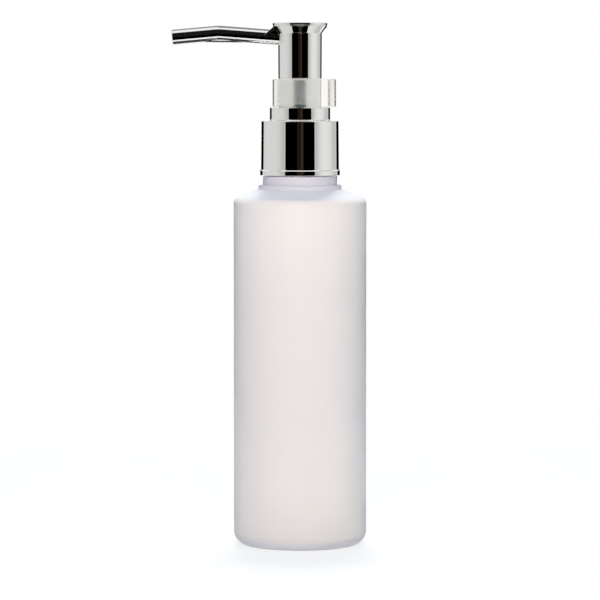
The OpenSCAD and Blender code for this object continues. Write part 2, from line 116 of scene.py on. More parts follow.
def filled_in(outline, step):
    """Adds points along an outline so that none is further than step from the next; the old points stay."""
    way = np.concatenate([[0], np.cumsum(np.linalg.norm(np.diff(outline, axis=0), axis=1))])
    every = np.unique(np.concatenate([way, np.arange(0, way[-1], step)]))
    return np.stack([np.interp(every, way, outline[:, k]) for k in (0, 1)], axis=1)


corner_test = rounded([(0, 0, 1), (10, 0, 1), (10, 10, 1), (0, 10, 1)])
print("a square with 1 mm corners has", len(corner_test), "points")

# %% [markdown]
# ## Surfaces
#
# Two kinds of surface make all the new parts. The first turns an outline about an axis, and the axis may bend, so
# that a cup, a bent tube and a spring's wire are all the same surface. The second carries a closed section along a
# path, for a clip or the ridge of a screw thread. Both are grids of points worked out as whole arrays. Spin or
# Screw modifiers could do some of it, but a formula gives exact places and closed seams.


# %% Mesh from a grid
def grid_faces(rows, columns, close_rows):
    """Four-sided faces between neighbours of a grid whose columns close; its rows close where asked."""
    i = np.arange(rows if close_rows else rows - 1)[:, None]
    j = np.arange(columns)[None, :]
    i2, j2 = (i + 1) % rows, (j + 1) % columns
    return np.stack([i * columns + j, i * columns + j2, i2 * columns + j2, i2 * columns + j], axis=-1).reshape(-1, 4)


def fan(hub, ring, flipped):
    """Three-sided faces from a hub point to the sides of a closed ring of points."""
    after = np.roll(ring, -1)
    pair = (after, ring) if flipped else (ring, after)
    return np.stack([np.full(len(ring), hub), *pair], axis=1)


def new_mesh(name, points, faces, sharp=40):
    """Puts points in millimetres and faces into a mesh object at the origin, shaded smooth up to an angle."""
    mesh = bpy.data.meshes.new(name)
    mesh.from_pydata((points * MM).tolist(), [], [f for block in faces for f in block.tolist()])
    mesh.polygons.foreach_set("use_smooth", np.ones(len(mesh.polygons), bool))
    mesh.set_sharp_from_angle(angle=np.radians(sharp))
    mesh.update()
    piece = bpy.data.objects.new(name, mesh)
    bpy.context.scene.collection.objects.link(piece)
    size = np.ptp(points, axis=0)
    print(f"{name}: {len(mesh.polygons)} faces, {size[0]:.2f} x {size[1]:.2f} x {size[2]:.2f} mm")
    return piece


# %% Turned and swept surfaces
def straight_axis(s):
    """The Z axis: the centre at height s, with X and Y as the directions of a turned ring."""
    zero, one = np.zeros_like(s), np.ones_like(s)
    return np.stack([zero, zero, s], 1), np.stack([one, zero, zero], 1), np.stack([zero, one, zero], 1)


def turned(name, outline, axis=straight_axis, around=192, sharp=40):
    """Turns an outline of points (r, s) about an axis: centre(s) + r * (cos a * n(s) + sin a * b(s)).
    An outline that starts and ends at r = 0 is closed there by one point; any other outline is a loop."""
    a = np.linspace(0, 2 * np.pi, around, endpoint=False)[None, :, None]
    centre, n, b = axis(outline[:, 1])
    points = centre[:, None] + outline[:, :1, None] * (np.cos(a) * n[:, None] + np.sin(a) * b[:, None])
    if outline[0, 0] > 0:
        return new_mesh(name, points.reshape(-1, 3), [grid_faces(len(outline), around, True)], sharp)
    inner = points[1:-1]
    faces = grid_faces(len(inner), around, False)
    count = len(inner) * around
    ring = np.arange(around)
    ends = np.concatenate([fan(count, ring, True), fan(count + 1, ring + count - around, False)])
    points = np.concatenate([inner.reshape(-1, 3), centre[:1], centre[-1:]])
    return new_mesh(name, points, [faces, ends], sharp)


def swept(name, section, path, n, b, size=None, sharp=40):
    """Carries a closed section of points (u, v) along a path: path(t) + size(t) * u * n(t) + v * b(t).
    Each end is closed by faces from its middle."""
    size = np.ones(len(path)) if size is None else size
    u, v = section[None, :, :1], section[None, :, 1:]
    points = path[:, None] + u * size[:, None, None] * n[:, None] + v * b[:, None]
    ring = np.arange(len(section))
    count = points.shape[0] * points.shape[1]
    faces = grid_faces(len(path), len(section), False)
    ends = np.concatenate([fan(count, ring, True), fan(count + 1, ring + count - len(ring), False)])
    points = np.concatenate([points.reshape(-1, 3), points[:1].mean(1), points[-1:].mean(1)])
    return new_mesh(name, points, [faces, ends], sharp)


print("surfaces: turned about an axis, swept along a path")

# %% [markdown]
# ## Bottle
#
# The body is blown into a mould: an even wall, a soft heel, a pushed-up base that stands on a ring, and a sloping
# shoulder. The neck with its bead and step is moulded first and stays crisp. The wall is modelled with its inside
# too, because light that passes through it must cross real faces, both in and out.

# %% Bottle sizes
BODY_R, WALL, HEEL_R = 24.0, 1.1, 5.0
SIDE_H, SHOULDER_R, SLOPE = 123.7, 2.5, np.radians(22)
PUSH_UP, RING_IN, THROAT_RISE, THROAT_DROP = 1.8, 16.0, 1.3, 1.4
BEAD_R, STEP_R, FINISH_R, BORE_R, THROAT_R = 15.0, 13.4, 10.8, 9.2, 11.9
BEAD_Z, BEAD_TOP, STEP_TOP, MOUTH = 129.02, 130.57, 133.95, 149.62
SMOOTH_AROUND, DOME_STEPS, LONGEST_STEP = 256, 24, 6


def slope_height(radius, fillet):
    """Height of the shoulder's slope, outside or inside, at a radius. It touches the corner's arc."""
    end_r = BODY_R - SHOULDER_R + fillet * np.sin(SLOPE)
    return SIDE_H + fillet * np.cos(SLOPE) + (end_r - radius) * np.tan(SLOPE)


# %% Bottle wall
dome_r = (RING_IN**2 + PUSH_UP**2) / (2 * PUSH_UP)
dome = (0, PUSH_UP - dome_r)
inner_dome_r = dome_r + WALL
inner_corner = SHOULDER_R - WALL
outer_tilt, inner_tilt = (90 - np.degrees(np.arcsin(RING_IN / r)) for r in (dome_r, inner_dome_r))

outside = rounded(
    [
        (RING_IN, 0, 0),
        (BODY_R, 0, HEEL_R),
        (BODY_R, slope_height(BODY_R, SHOULDER_R), SHOULDER_R),
        (BEAD_R, BEAD_Z, 0.3),
        (BEAD_R, BEAD_TOP, 0.5),
        (STEP_R, BEAD_TOP, 0.25),
        (STEP_R, STEP_TOP, 0.25),
        (FINISH_R, STEP_TOP, 0.4),
        (FINISH_R, MOUTH, 0.5),
        (BORE_R, MOUTH, 0.3),
        (BORE_R, STEP_TOP + THROAT_RISE, 0.4),
        (THROAT_R, STEP_TOP - THROAT_DROP, 0.6),
        (THROAT_R, slope_height(THROAT_R, inner_corner), 1.2),
        (BODY_R - WALL, slope_height(BODY_R - WALL, inner_corner), inner_corner),
        (BODY_R - WALL, WALL, HEEL_R - WALL),
        (RING_IN, WALL, 0),
    ],
    closed=False,
    steps=12,
)
bottle_outline = np.concatenate(
    [
        arc(dome, dome_r, 90, outer_tilt, DOME_STEPS),
        outside[1:-1],
        arc(dome, inner_dome_r, inner_tilt, 90, DOME_STEPS),
    ]
)
bottle_outline[[0, -1], 0] = 0
bottle = turned("bottle_wall", filled_in(bottle_outline, LONGEST_STEP), around=SMOOTH_AROUND)
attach(bottle, "bottle")
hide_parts("bottle")

# %% [markdown]
# ## Screw thread
#
# The neck's thread is one ridge that runs one and a half turns up the finish and fades out at both ends. The cap
# has a ridge too, half a pitch further down, which pulls the pump onto its gasket. It stands out less, so that it
# passes the gasket when the cap comes off. A ridge could be cut with a screw shape and a boolean, but a section
# swept along a helix needs no cutting and closes by itself.

# %% Thread ridges
PITCH, TURNS, THREAD_Z = 3.175, 1.5, 143.0
NECK_RIDGE_H, CAP_RIDGE_H, CAP_BORE_R = 1.05, 0.55, 12.1
HALF_RIDGE = np.array([(-0.15, -0.62), (0.25, -0.5), (0.85, -0.3), (1, -0.16)])
RIDGE = np.concatenate([HALF_RIDGE, HALF_RIDGE[::-1] * (1, -1)])
RIDGE_STEPS, FADE_PARTS = 180, 8


def thread_ridge(name, root, ridge_h, drop, inward):
    """A ridge on a helix: (r cos a, r sin a, z0 + pitch * a / one turn), with a height that rises smoothly from
    nothing and falls back to it over the first and last eighth of the way. RIDGE is its section, as a share of the
    height outward and in millimetres upward."""
    t = np.linspace(0, 1, RIDGE_STEPS + 1)
    a = 2 * np.pi * TURNS * t
    out = np.stack([np.cos(a), np.sin(a), 0 * a], 1)
    path = root * out + np.stack([0 * a, 0 * a, THREAD_Z - drop + PITCH * TURNS * t], 1)
    fade = np.clip(np.minimum(t, 1 - t) * FADE_PARTS, 0.02, 1)
    size = ridge_h * np.sin(fade * np.pi / 2)
    up = np.tile([0.0, 0.0, 1.0], (len(t), 1))
    side = -1 if inward else 1
    section = RIDGE[::-1] if inward else RIDGE
    return swept(name, section * (side, 1), path, out, up, size, sharp=60)


neck_thread = thread_ridge("neck_thread", FINISH_R, NECK_RIDGE_H, 0, inward=False)
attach(neck_thread, "bottle")
cap_thread = thread_ridge("cap_thread", CAP_BORE_R, CAP_RIDGE_H, PITCH / 2, inward=True)
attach(cap_thread, "closure")

# %% [markdown]
# ## Closure
#
# The chromed cover is drawn from thin sheet over the plastic cap: a rolled lip, a skirt with a slight taper, a
# ledge and a raised step. Each of its radii shows as a bright line, so each has its own value.

# %% Closure shell
SHELL_WALL, LIP_Z, LIP_TOP, LEDGE_Z, CLOSURE_TOP, WEB_TOP = 0.45, 134.12, 136.0, 153.88, 158.66, 153.27
LIP_R, SKIRT_LOW, SKIRT_TOP, RAISED_R, HOLE_R = 14.42, 14.1, 13.93, 10.9, 7.9
LIP_ROLL, LEDGE_FALL = 0.36, 0.26
shell_outline = rounded(
    [
        (SKIRT_LOW - SHELL_WALL, LIP_Z, 0.15),
        (LIP_R, LIP_Z, 0.2),
        (LIP_R, LIP_TOP - LIP_ROLL / 2, 0.15),
        (SKIRT_LOW - 0.02, LIP_TOP + LIP_ROLL / 2, 0.3),
        (SKIRT_TOP, LEDGE_Z - LEDGE_FALL / 2, 0.35),
        (RAISED_R, LEDGE_Z + LEDGE_FALL / 2, 0.4),
        (RAISED_R, CLOSURE_TOP, 0.42),
        (HOLE_R, CLOSURE_TOP, 0.12),
        (HOLE_R, CLOSURE_TOP - SHELL_WALL, 0.12),
        (RAISED_R - SHELL_WALL, CLOSURE_TOP - SHELL_WALL, 0.1),
        (RAISED_R - SHELL_WALL, WEB_TOP, 0.1),
        (SKIRT_TOP - SHELL_WALL, WEB_TOP, 0.15),
        (SKIRT_LOW - SHELL_WALL, LIP_TOP, 0.1),
    ]
)
shell = turned("closure_cover", shell_outline, around=SMOOTH_AROUND)
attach(shell, "closure")
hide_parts("closure_shell")

# %% [markdown]
# ## Head
#
# The head is a chromed cup turned upside down. Its side is almost a cylinder, then it flares to a thin rim with a
# bevel on top. A web under the rim braces the spout. The web is a flat plate as wide as the tube, with a slanted
# front edge, so a swept section makes it.

# %% Head cup
HEAD_Z, FLARE_Z, RIM_Z, HEAD_TOP = 168.91, 185.3, 187.86, 189.21
HEAD_LOW_R, HEAD_TOP_R, RIM_R, CAVITY_R, CAVITY_TOP = 7.8, 7.875, 9.85, 7.1, 186.41
GROOVE, GROOVE_UP, GROOVE_H, RIM_ROUND, PAD_IN, PAD_SINK = 0.16, 0.12, 0.36, 0.2, 1.2, 0.13
head_outline = rounded(
    [
        (0, CAVITY_TOP, 0),
        (CAVITY_R, CAVITY_TOP, 0.3),
        (CAVITY_R, HEAD_Z, 0.12),
        (HEAD_LOW_R, HEAD_Z, 0.2),
        (HEAD_TOP_R, FLARE_Z, 0.06),
        (RIM_R, RIM_Z, 0.05),
        (RIM_R, RIM_Z + GROOVE_UP, 0.05),
        (RIM_R - GROOVE, RIM_Z + GROOVE_UP + GROOVE_H / 2, 0.06),
        (RIM_R, RIM_Z + GROOVE_UP + GROOVE_H, 0.05),
        (RIM_R, HEAD_TOP - RIM_ROUND, RIM_ROUND),
        (RIM_R - PAD_IN, HEAD_TOP - PAD_SINK, 1.0),
        (0, HEAD_TOP, 0),
    ],
    closed=False,
)
head = turned("head_cup", head_outline, around=SMOOTH_AROUND)
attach(head, "head")
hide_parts("head_shell")

# %% [markdown]
# ## Spout
#
# The spout is one length of tube with a gentle bend. Its axis rises a little to the bend and then falls. The
# surface is the same turned surface as the head's, with a bent axis in place of the straight one, so the bore and
# the rounded end come from one closed outline.

# %% Spout axis
SPOUT_Z, SPOUT_R, SPOUT_BORE_R, BEND_R = 183.06, 2.75, 1.7, 12.0
UP, DOWN = np.radians(4.4), np.radians(5.1)
BEND_REACH, TIP_L, SPOUT_FROM = 29.2, 17.0, 2.5
trim = BEND_R * np.tan((UP + DOWN) / 2)
first_leg = BEND_REACH / np.cos(UP) - trim
bend_start = first_leg - SPOUT_FROM
bend_end = bend_start + BEND_R * (UP + DOWN)
SPOUT_L = bend_end + TIP_L - trim
bend_centre = np.array([-first_leg * np.cos(UP), 0, SPOUT_Z + first_leg * np.sin(UP)]) - BEND_R * np.array(
    [np.sin(UP), 0, np.cos(UP)]
)


def spout_axis(s):
    """Centre of the tube at a way s along it. The slope falls evenly over the bend, where the centre runs on a
    circle; before and after, the rest of the way is added straight along the slope."""
    slope = UP - (UP + DOWN) * np.clip((s - bend_start) / (bend_end - bend_start), 0, 1)
    rest = s - np.clip(s, bend_start, bend_end)
    zero = np.zeros_like(s)
    n = np.stack([np.sin(slope), zero, np.cos(slope)], 1)
    along = np.stack([-np.cos(slope), zero, np.sin(slope)], 1)
    return bend_centre + BEND_R * n + rest[:, None] * along, n, np.stack([zero, zero + 1, zero], 1)


# %% Spout tube
tube_outline = rounded(
    [(SPOUT_BORE_R, 0, 0.1), (SPOUT_R, 0, 0.1), (SPOUT_R, SPOUT_L, 0.25), (SPOUT_BORE_R, SPOUT_L, 0.2)]
)
spout = turned("spout_pipe", filled_in(tube_outline, 0.5), spout_axis, around=96)
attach(spout, "head")
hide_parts("spout_tube")

# %% [markdown]
# The brace is swept across the bottle, from one flat side to the other. Its section is the triangle between the
# tube's middle, the rim and the head, with small radii.

# %% Spout brace
BRACE_REACH, BRACE_IN, BRACE_HALF_W, BRACE_EDGE, BRACE_HALF_L = 13.54, 6.5, 2.7, 0.2, 3.0
RIM_LAP, LIP_IN, FRONT_IN, FRONT_DROP, EDGE_STEPS = 0.3, 0.9, 0.4, 0.05, 6


def tube_height(x):
    """Height of the first leg's axis at a distance x from the bottle's axis."""
    return SPOUT_Z + x * np.tan(UP)


brace_outline = rounded(
    [
        (-BRACE_REACH, tube_height(BRACE_REACH), 0.3),
        (-BRACE_IN, tube_height(BRACE_IN), 0.2),
        (-BRACE_IN, RIM_Z + RIM_LAP, 0.2),
        (-RIM_R + LIP_IN, RIM_Z + RIM_LAP, 0.15),
        (-RIM_R + FRONT_IN, RIM_Z - FRONT_DROP, 0.15),
    ]
)
middle = brace_outline.mean(0)
edge = np.radians(np.linspace(0, 90, EDGE_STEPS + 1))
rise = BRACE_HALF_W - BRACE_EDGE + BRACE_EDGE * np.sin(edge)
shrink = 1 - (1 - np.cos(edge)) * BRACE_EDGE / BRACE_HALF_L
y = np.concatenate([-rise[::-1], rise])
scale = np.concatenate([shrink[::-1], shrink])
brace_points = np.stack(
    [
        middle[0] + scale[:, None] * (brace_outline[:, 0] - middle[0]),
        y[:, None] + 0 * brace_outline[:, 0],
        middle[1] + scale[:, None] * (brace_outline[:, 1] - middle[1]),
    ],
    axis=-1,
)
ring = np.arange(len(brace_outline))
total = brace_points.shape[0] * brace_points.shape[1]
brace = new_mesh(
    "spout_brace",
    np.concatenate([brace_points.reshape(-1, 3), brace_points[:1].mean(1), brace_points[-1:].mean(1)]),
    [
        grid_faces(len(y), len(ring), False)[:, ::-1],
        fan(total, ring, False),
        fan(total + 1, ring + total - len(ring), True),
    ],
    sharp=30,
)
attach(brace, "head")

# %% [markdown]
# ## Sleeve and clip
#
# Under the head a satin metal sleeve slides into the closure. Round it sits a clear clip, a C of thick plastic
# that is open at the back. It is a rounded bar bent round a half circle with two straight arms, so it is swept.

# %% Sleeve
SLEEVE_R, SLEEVE_LOW = 7.6, 157.61
sleeve_outline = rounded(
    [(CAVITY_R, SLEEVE_LOW, 0.1), (SLEEVE_R, SLEEVE_LOW, 0.15), (SLEEVE_R, HEAD_Z, 0.1), (CAVITY_R, HEAD_Z, 0.1)]
)
sleeve = turned("satin_sleeve", sleeve_outline, around=192)
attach(sleeve, "head")
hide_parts("stem_sleeve")

# %% Clip
CLIP_IN, CLIP_WALL, CLIP_OFF, ARM_L, ARM_STEPS, CURVE_STEPS = 9.65, 1.8, 1.55, 6.0, 12, 96
CLIP_LOW, CLIP_TOP, CLIP_EDGE = 158.92, 168.71, 0.22
mid_r = CLIP_IN + CLIP_WALL / 2
arm = np.linspace(1, 0, ARM_STEPS + 1)[:-1]
half_turn = np.linspace(0, -np.pi, CURVE_STEPS + 1)
clip_x = np.concatenate([np.full(ARM_STEPS, mid_r), mid_r * np.cos(half_turn), np.full(ARM_STEPS, -mid_r)])
clip_y = np.concatenate([ARM_L * arm, mid_r * np.sin(half_turn), ARM_L * arm[::-1]])
outward = np.stack([np.cos(half_turn), np.sin(half_turn), 0 * half_turn], 1)
clip_n = np.concatenate([np.tile([1.0, 0, 0], (ARM_STEPS, 1)), outward, np.tile([-1.0, 0, 0], (ARM_STEPS, 1))])
clip_path = np.stack([CLIP_OFF + clip_x, clip_y, 0 * clip_x], 1)
half_w = CLIP_WALL / 2
clip_corners = [(-half_w, CLIP_LOW), (half_w, CLIP_LOW), (half_w, CLIP_TOP), (-half_w, CLIP_TOP)]
clip_section = rounded([(*corner, CLIP_EDGE) for corner in clip_corners])
up = np.tile([0.0, 0.0, 1.0], (len(clip_path), 1))
clip = swept("clear_clip", clip_section, clip_path, clip_n, up)
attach(clip, "clip")
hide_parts("clip_lock")

# %% [markdown]
# ## Return spring
#
# The spring pushes the head back up. Its wire follows a helix whose first and last curls lie closer together, and
# the turned surface with a helix for its axis makes it, round ends included.

# %% Spring wire
COIL_R, WIRE_R, CURLS, SPRING_Z, SPRING_RISE, CLOSER = 3.4, 0.4, 9, 112.4625, 18.7, 0.35
STROKE, CHAMBER_Z, SPRING_L, STEPS_A_CURL, BEVEL = 9.6, 112.0125, 19.6, 28, 0.7


def spring_axis(s):
    """Helix of the wire: (R cos a, R sin a, z), a being all curls' turn times the share s of the way, and z
    rising with s less a sine of it, so that the curls at both ends lie closer."""
    a = 2 * np.pi * CURLS * s
    z = SPRING_Z + SPRING_RISE * (s - CLOSER * np.sin(2 * np.pi * s) / (2 * np.pi))
    lead = np.arctan(SPRING_RISE * (1 - CLOSER * np.cos(2 * np.pi * s)) / (2 * np.pi * COIL_R * CURLS))
    out = np.stack([np.cos(a), np.sin(a), 0 * a], 1)
    across = np.stack([np.sin(a) * np.sin(lead), -np.cos(a) * np.sin(lead), np.cos(lead)], 1)
    return COIL_R * out + np.stack([0 * a, 0 * a, z], 1), across, out


share = np.linspace(0, 1, CURLS * STEPS_A_CURL + 1)
side = np.stack([np.full_like(share, WIRE_R), share], 1)
side[[0, -1], 0] *= BEVEL
wire_outline = np.concatenate([[[0, 0]], side, [[0, 1]]])
spring = turned("spring_wire", wire_outline, spring_axis, around=12, sharp=50)
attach(spring, "pump")
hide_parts("return_spring")
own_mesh(spring)

# %% [markdown]
# ## Finishes
#
# A finish is more than a colour. Moulded plastic has a fine grain and slow waves, plating has a faint ripple and
# haze, and turned metal has lines round it. These effects are shared, so each is a node group with named inputs
# that puts out a height and a roughness. The shader itself stays in each material.


# %% Colour and node helpers
def linear(red, green, blue):
    """Linear values of a colour that is given from 0 to 255 as a screen shows it."""
    c = np.array([red, green, blue]) / 255
    return tuple(np.where(c <= 0.04045, c / 12.92, ((c + 0.055) / 1.055) ** 2.4)) + (1.0,)


def new_group(name, inputs, outputs):
    """A shader node group with named number inputs and named outputs, and a function that adds nodes to it."""
    group = bpy.data.node_groups.new(name, "ShaderNodeTree")
    for label, value in inputs.items():
        socket = group.interface.new_socket(name=label, in_out="INPUT", socket_type="NodeSocketFloat")
        socket.default_value = value
    for label in outputs:
        group.interface.new_socket(name=label, in_out="OUTPUT", socket_type="NodeSocketFloat")
    return group, group.nodes.new("NodeGroupInput"), group.nodes.new("NodeGroupOutput")


def add(tree, kind, **values):
    """Adds a node of a kind. Each value sets an attribute, or else an input by its name with _ for a space."""
    node = tree.nodes.new(kind)
    for key, value in values.items():
        if hasattr(node, key):
            setattr(node, key, value)
        else:
            node.inputs[key.replace("_", " ")].default_value = value
    return node


def join(tree, source, target):
    """Links two sockets, each given as (node, name or number)."""
    tree.links.new(source[0].outputs[source[1]], target[0].inputs[target[1]])


print("helpers ready")


# %% Surface groups
NOISE_FROM, NOISE_TO = 0.3, 0.7


def noise_group(name, stretch):
    """Two sizes of noise on Object coordinates, fine grain and slow waves. stretch squeezes the pattern along an
    axis, which draws it out into lines across that axis. Height is grain plus waves, and the roughness follows the
    waves between a low and a high value."""
    group, start, end = new_group(
        name,
        {"Grain": 2500.0, "Waves": 120.0, "Grain depth": 0.5, "Wave depth": 0.5, "Low": 0.3, "High": 0.4},
        ["Height", "Roughness"],
    )
    where = add(group, "ShaderNodeTexCoord")
    place = add(group, "ShaderNodeMapping")
    place.inputs["Scale"].default_value = stretch
    join(group, (where, "Object"), (place, "Vector"))
    layers = []
    for size, depth in (("Grain", "Grain depth"), ("Waves", "Wave depth")):
        noise = add(group, "ShaderNodeTexNoise", Detail=3.0)
        join(group, (place, "Vector"), (noise, "Vector"))
        join(group, (start, size), (noise, "Scale"))
        times = add(group, "ShaderNodeMath", operation="MULTIPLY")
        join(group, (noise, "Fac"), (times, 0))
        join(group, (start, depth), (times, 1))
        layers.append((noise, times))
    height = add(group, "ShaderNodeMath", operation="ADD")
    join(group, (layers[0][1], 0), (height, 0))
    join(group, (layers[1][1], 0), (height, 1))
    join(group, (height, 0), (end, "Height"))
    spread = add(group, "ShaderNodeMapRange")
    spread.inputs["From Min"].default_value = NOISE_FROM
    spread.inputs["From Max"].default_value = NOISE_TO
    join(group, (layers[1][0], "Fac"), (spread, "Value"))
    join(group, (start, "Low"), (spread, "To Min"))
    join(group, (start, "High"), (spread, "To Max"))
    join(group, (spread, "Result"), (end, "Roughness"))
    return group


MOULDED = noise_group("moulded_surface", (1, 1, 1))
TURNED_LINES = noise_group("turned_lines", (0.02, 0.02, 1))
print("groups:", MOULDED.name, "and", TURNED_LINES.name)


# %% Finish builder
def finish(name, colour, group, pattern, bump=0.02, tone=0.03, **shader):
    """A material with one Principled shader. Its roughness and height come from a surface group, and a faint
    change of tone follows the roughness, as dirt and wear do. Uniform values are set on the shader's own sockets."""
    made = bpy.data.materials.new(name)
    made.use_nodes = True
    tree = made.node_tree
    principled = tree.nodes["Principled BSDF"]
    for label, value in shader.items():
        principled.inputs[label.replace("_", " ")].default_value = value
    surface = add(tree, "ShaderNodeGroup", node_tree=group)
    for label, value in pattern.items():
        surface.inputs[label.replace("_", " ")].default_value = value
    join(tree, (surface, "Roughness"), (principled, "Roughness"))
    height = add(tree, "ShaderNodeBump", Strength=1.0, Distance=bump * MM)
    join(tree, (surface, "Height"), (height, "Height"))
    join(tree, (height, "Normal"), (principled, "Normal"))
    colours = add(tree, "ShaderNodeMapRange", data_type="FLOAT_VECTOR")
    full = np.array(colour[:3])
    colours.inputs[9].default_value = tuple(full)
    colours.inputs[10].default_value = tuple(full * (1 - tone))
    spread = add(tree, "ShaderNodeMapRange")
    spread.inputs["From Min"].default_value = pattern["Low"]
    spread.inputs["From Max"].default_value = pattern["High"]
    join(tree, (surface, "Roughness"), (spread, "Value"))
    join(tree, (spread, "Result"), (colours, 6))
    join(tree, (colours, 1), (principled, "Base Color"))
    return made


def dress(made, pieces):
    """Gives a material to new pieces, and to the construction model's nodes by name."""
    for piece in pieces:
        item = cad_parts[piece] if isinstance(piece, str) else piece
        item.data.materials.clear()
        item.data.materials.append(made)
    print(made.name, "on", [p if isinstance(p, str) else p.name for p in pieces])


# %% [markdown]
# ## Frosted plastic
#
# The wall is a milky plastic with an etched outside. A white paint would look like china, and clear plastic with a
# rough surface like ground glass. The real wall is between the two: part of the light scatters inside it and part
# passes through blurred. So the shader mixes a scattering body with rough transmission. Its colour also carries
# painted light and shade by height: Object coordinates run through a ramp of tones, whose painted shade darkens
# the middle of the body, draws a dark line at the shoulder's corner and makes the neck under the closure darker and
# cooler, while painted light brightens the shoulder and the heel.

# %% Frosted plastic
# Painted light and shade: these tones lighten or darken the frosted colour by height, where the lamps and the closure
# light the bottle more or less.
HEEL_PAINTED_LIGHT, BODY_TONE, MIDDLE_PAINTED_SHADE = (255, 253, 255), (251, 242, 233), (244, 235, 227)
CORNER_PAINTED_SHADE, SHOULDER_PAINTED_LIGHT, NECK_PAINTED_SHADE = (236, 232, 232), (253, 250, 250), (239, 233, 236)
PAINTED_LIGHT_TONES = [
    (0, HEEL_PAINTED_LIGHT),
    (1, HEEL_PAINTED_LIGHT),
    (4.5, BODY_TONE),
    (22, BODY_TONE),
    (48, MIDDLE_PAINTED_SHADE),
    (92, MIDDLE_PAINTED_SHADE),
    (116, BODY_TONE),
    (125.5, BODY_TONE),
    (125.9, CORNER_PAINTED_SHADE),
    (126.3, SHOULDER_PAINTED_LIGHT),
    (128.7, SHOULDER_PAINTED_LIGHT),
    (129.2, NECK_PAINTED_SHADE),
]

frosted = finish(
    "frosted_plastic",
    (1, 1, 1, 1),
    MOULDED,
    {"Grain": 4200.0, "Waves": 90.0, "Grain_depth": 0.35, "Wave_depth": 0.8, "Low": 0.4, "High": 0.5},
    bump=0.02,
    tone=0.01,
    Transmission_Weight=0.25,
    IOR=1.46,
)
tree = frosted.node_tree
principled = tree.nodes["Principled BSDF"]
where = add(tree, "ShaderNodeTexCoord")
split = add(tree, "ShaderNodeSeparateXYZ")
join(tree, (where, "Object"), (split, 0))
share = add(tree, "ShaderNodeMath", operation="DIVIDE")
share.inputs[1].default_value = MOUTH * MM
join(tree, (split, "Z"), (share, 0))
ramp = add(tree, "ShaderNodeValToRGB")
stops = ramp.color_ramp.elements
while len(stops) < len(PAINTED_LIGHT_TONES):
    stops.new(1.0)
for stop, (z, tone) in zip(stops, PAINTED_LIGHT_TONES):
    stop.position, stop.color = z / MOUTH, linear(*tone)
join(tree, (share, 0), (ramp, 0))
# The ramp's tones multiply the base colour, which paints the light and shade into it.
painted_tones = add(tree, "ShaderNodeMix", data_type="RGBA", blend_type="MULTIPLY")
painted_tones.inputs[0].default_value = 1.0
tree.links.new(principled.inputs["Base Color"].links[0].from_socket, painted_tones.inputs[6])
join(tree, (ramp, 0), (painted_tones, 7))
join(tree, (painted_tones, 2), (principled, "Base Color"))
dress(frosted, [bottle, neck_thread])

# %% [markdown]
# ## Chrome
#
# Plating on moulded plastic is a mirror, but never a perfect one. It has a slow ripple from the plastic under it,
# and a faint haze from handling. The three chromed parts share the finish with small differences.

# %% Chrome
CHROME = linear(240, 240, 237)
ripple = {"Grain": 900.0, "Waves": 60.0, "Grain_depth": 0.0, "Wave_depth": 1.0, "Low": 0.02, "High": 0.045}
chromed_shell = finish("chromed_shell", CHROME, MOULDED, ripple, bump=0.006, tone=0.02, Metallic=1.0)
chromed_head = finish("chromed_head", CHROME, MOULDED, {**ripple, "Waves": 80.0}, bump=0.005, tone=0.02, Metallic=1.0)
chromed_tube = finish("chromed_tube", CHROME, MOULDED, {**ripple, "High": 0.06}, bump=0.005, tone=0.02, Metallic=1.0)
dress(chromed_shell, [shell])
dress(chromed_head, [head, brace])
dress(chromed_tube, [spout])

# %% [markdown]
# ## Satin sleeve, spring and clear clip
#
# The sleeve is turned metal: lines run round it, so the pattern is squeezed along the axis. The spring is drawn
# wire. The clip is a clear plastic that isn't polished, so it blurs what lies behind it a little.

# %% Metals
satin = finish(
    "satin_metal",
    linear(244, 247, 251),
    TURNED_LINES,
    {"Grain": 9000.0, "Waves": 1500.0, "Grain_depth": 0.5, "Wave_depth": 0.3, "Low": 0.27, "High": 0.31},
    bump=0.0012,
    tone=0.01,
    Metallic=1.0,
)
dress(satin, [sleeve])
steel = finish(
    "spring_steel",
    linear(190, 191, 193),
    MOULDED,
    {"Grain": 6000.0, "Waves": 500.0, "Grain_depth": 0.6, "Wave_depth": 0.4, "Low": 0.22, "High": 0.34},
    bump=0.01,
    Metallic=1.0,
)
dress(steel, [spring])

# %% Clear plastic
clear = finish(
    "clear_plastic",
    linear(253, 251, 246),
    MOULDED,
    {"Grain": 2000.0, "Waves": 70.0, "Grain_depth": 0.0, "Wave_depth": 0.6, "Low": 0.07, "High": 0.12},
    bump=0.001,
    tone=0.01,
    Transmission_Weight=1.0,
    IOR=1.49,
)
dress(clear, [clip])

# %% [markdown]
# ## Plastics inside
#
# The pump's own parts are natural or white plastic. They show through the frosted wall as a shadow, and openly
# when the pump is lifted out. The gasket is foam, with a coarse grain, and the ball of the inlet valve is glass.

